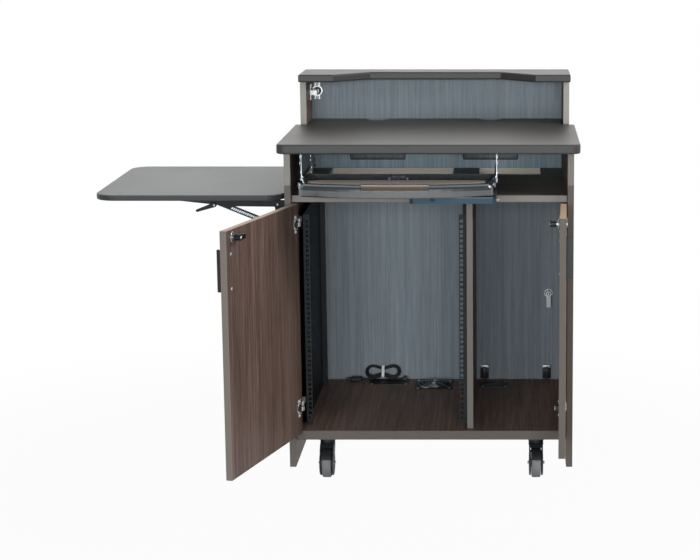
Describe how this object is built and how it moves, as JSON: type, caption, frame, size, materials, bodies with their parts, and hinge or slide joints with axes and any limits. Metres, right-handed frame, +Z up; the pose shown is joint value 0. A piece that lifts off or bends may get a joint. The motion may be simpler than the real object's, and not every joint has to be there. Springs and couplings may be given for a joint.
{
  "type": "teaching podium",
  "caption": "Rolling lecture podium: laminate cabinet with rack bay, front and rear doors, pull-out keyboard tray, raised rear cap and flip-up side shelf.",
  "frame": {"origin": "on the floor, at the middle of the footprint as pictured, with the side shelf up and the front doors open", "axes": "+X to the right and +Y away from someone facing the open front doors, +Z up"},
  "size_m": [1.442, 1.208, 1.188],
  "materials": {
    "walnut_laminate": "matte woodgrain laminate",
    "grey_laminate": "matte woodgrain laminate",
    "taupe_laminate": "satin laminate",
    "light_grey_laminate": "satin laminate",
    "black_steel": "satin powder coat",
    "zinc_steel": "zinc plated",
    "nickel": "nickel plated",
    "tray_plastic": "glossy moulding",
    "black_plastic": "satin moulding",
    "grey_rubber": "matte tread",
    "cord_sheath": "matte sheath"
  },
  "bodies": {
    "cabinet": {"left_side_panel": "walnut_laminate", "right_side_panel": "walnut_laminate", "base_panel": "walnut_laminate", "equipment_shelf": "walnut_laminate", "divider_panel": "walnut_laminate", "rear_rail": "grey_laminate", "worktop": "taupe_laminate", "top_cap": "taupe_laminate", "left_rack_rail": "black_steel", "right_rack_rail": "black_steel", "fan_frame": "black_plastic", "left_cable_plate": "black_plastic", "right_cable_plate": "black_plastic", "left_tray_hanger": "zinc_steel", "right_tray_hanger": "zinc_steel", "front_wall_bracket": "black_steel", "rear_wall_bracket": "black_steel", "mains_lead_hank": "cord_sheath", "mains_plug": "black_plastic", "left_door_upper_hinge_arm": "nickel", "left_door_lower_hinge_arm": "nickel", "right_door_upper_hinge_arm": "nickel", "right_door_lower_hinge_arm": "nickel", "rear_door_upper_hinge_arm": "nickel", "rear_door_lower_hinge_arm": "nickel", "front_left_caster_plate": "zinc_steel", "front_right_caster_plate": "zinc_steel", "rear_left_caster_plate": "zinc_steel", "rear_right_caster_plate": "zinc_steel"},
    "left_door": {"left_door": "walnut_laminate", "left_door_upper_hinge_cup": "nickel", "left_door_lower_hinge_cup": "nickel", "left_door_handle": "black_plastic"},
    "left_door_lock": {"left_door_lock": "nickel"},
    "right_door": {"right_door": "walnut_laminate", "right_door_upper_hinge_cup": "nickel", "right_door_lower_hinge_cup": "nickel", "right_door_handle": "black_plastic"},
    "right_door_lock": {"right_door_lock": "nickel"},
    "rear_door": {"rear_door": "grey_laminate", "rear_door_upper_hinge_cup": "nickel", "rear_door_lower_hinge_cup": "nickel"},
    "rear_door_lock": {"rear_door_lock": "nickel"},
    "side_shelf": {"side_shelf": "light_grey_laminate", "front_shelf_arm": "black_steel", "rear_shelf_arm": "black_steel"},
    "front_brace": {"front_brace": "black_steel"},
    "rear_brace": {"rear_brace": "black_steel"},
    "release_lever": {"release_lever": "black_steel"},
    "keyboard_tray": {"keyboard_tray": "tray_plastic"},
    "mouse_tray": {"mouse_tray": "tray_plastic"},
    "fan_rotor": {"fan_rotor": "black_plastic"},
    "front_left_caster_fork": {"front_left_caster_fork": "black_plastic"},
    "front_left_wheel": {"front_left_wheel": "grey_rubber"},
    "front_right_caster_fork": {"front_right_caster_fork": "black_plastic"},
    "front_right_wheel": {"front_right_wheel": "grey_rubber"},
    "rear_left_caster_fork": {"rear_left_caster_fork": "black_plastic"},
    "rear_left_wheel": {"rear_left_wheel": "grey_rubber"},
    "rear_right_caster_fork": {"rear_right_caster_fork": "black_plastic"},
    "rear_right_wheel": {"rear_right_wheel": "grey_rubber"}
  },
  "joints": [
    {"name": "left_door_swing", "type": "hinge", "parent": "cabinet", "child": "left_door", "pos_m": [-0.1273, -0.09981, 0.147], "axis": [0, 0, 1], "range_deg": [-4.2, 105.8]},
    {"name": "left_door_lock_turn", "type": "hinge", "parent": "left_door", "child": "left_door_lock", "pos_m": [-0.26102, -0.56061, 0.8255], "axis": [0.9622, -0.2723, 0], "range_deg": [0, 90]},
    {"name": "right_door_swing", "type": "hinge", "parent": "cabinet", "child": "right_door", "pos_m": [0.6793, -0.09981, 0.147], "axis": [0, 0, -1], "range_deg": [-17, 88]},
    {"name": "right_door_lock_turn", "type": "hinge", "parent": "right_door", "child": "right_door_lock", "pos_m": [0.67399, -0.34357, 0.8255], "axis": [0.9994, -0.0349, 0], "range_deg": [0, 90]},
    {"name": "rear_door_swing", "type": "hinge", "parent": "cabinet", "child": "rear_door", "pos_m": [-0.1463, 0.58569, 0.123], "axis": [0, 0, 1], "range_deg": [0, 105]},
    {"name": "rear_door_lock_turn", "type": "hinge", "parent": "rear_door", "child": "rear_door_lock", "pos_m": [0.644, 0.6015, 0.444], "axis": [0, -1, 0], "range_deg": [0, 90]},
    {"name": "side_shelf_fold", "type": "hinge", "parent": "cabinet", "child": "side_shelf", "pos_m": [-0.18, -0.103, 0.834], "axis": [0, -1, 0], "range_deg": [0, 90]},
    {"name": "front_brace_swing", "type": "hinge", "parent": "cabinet", "child": "front_brace", "pos_m": [-0.168, -0.01801, 0.76], "axis": [0, -1, 0], "range_deg": [0, 107.2]},
    {"name": "rear_brace_swing", "type": "hinge", "parent": "cabinet", "child": "rear_brace", "pos_m": [-0.168, 0.497, 0.76], "axis": [0, -1, 0], "range_deg": [0, 107.2]},
    {"name": "release_lever_lift", "type": "hinge", "parent": "side_shelf", "child": "release_lever", "pos_m": [-0.37, -0.01801, 0.8325], "axis": [0, 1, 0], "range_deg": [0, 15]},
    {"name": "keyboard_tray_slide", "type": "slide", "parent": "cabinet", "child": "keyboard_tray", "axis": [0, -1, 0], "range_m": [-0.185, 0.06]},
    {"name": "mouse_tray_slide", "type": "slide", "parent": "keyboard_tray", "child": "mouse_tray", "axis": [1, 0, 0], "range_m": [0, 0.17]},
    {"name": "fan_spin", "type": "hinge", "parent": "cabinet", "child": "fan_rotor", "pos_m": [0.264, 0.494, 0.128], "axis": [0, 0, 1], "continuous": true},
    {"name": "front_left_swivel", "type": "hinge", "parent": "cabinet", "child": "front_left_caster_fork", "pos_m": [-0.042, -0.038, 0.104], "axis": [0, 0, 1], "continuous": true},
    {"name": "front_left_roll", "type": "hinge", "parent": "front_left_caster_fork", "child": "front_left_wheel", "pos_m": [-0.042, -0.066, 0.045], "axis": [1, 0, 0], "continuous": true},
    {"name": "front_right_swivel", "type": "hinge", "parent": "cabinet", "child": "front_right_caster_fork", "pos_m": [0.594, -0.038, 0.104], "axis": [0, 0, 1], "continuous": true},
    {"name": "front_right_roll", "type": "hinge", "parent": "front_right_caster_fork", "child": "front_right_wheel", "pos_m": [0.594, -0.066, 0.045], "axis": [1, 0, 0], "continuous": true},
    {"name": "rear_left_swivel", "type": "hinge", "parent": "cabinet", "child": "rear_left_caster_fork", "pos_m": [-0.042, 0.51699, 0.104], "axis": [0, 0, 1], "continuous": true},
    {"name": "rear_left_roll", "type": "hinge", "parent": "rear_left_caster_fork", "child": "rear_left_wheel", "pos_m": [-0.042, 0.489, 0.045], "axis": [1, 0, 0], "continuous": true},
    {"name": "rear_right_swivel", "type": "hinge", "parent": "cabinet", "child": "rear_right_caster_fork", "pos_m": [0.594, 0.51699, 0.104], "axis": [0, 0, 1], "continuous": true},
    {"name": "rear_right_roll", "type": "hinge", "parent": "rear_right_caster_fork", "child": "rear_right_wheel", "pos_m": [0.594, 0.489, 0.045], "axis": [1, 0, 0], "continuous": true}
  ],
  "couplings": [
    {"joint": "front_brace_swing", "follows": "side_shelf_fold", "ratio": 1.19},
    {"joint": "rear_brace_swing", "follows": "side_shelf_fold", "ratio": 1.19}
  ]
}
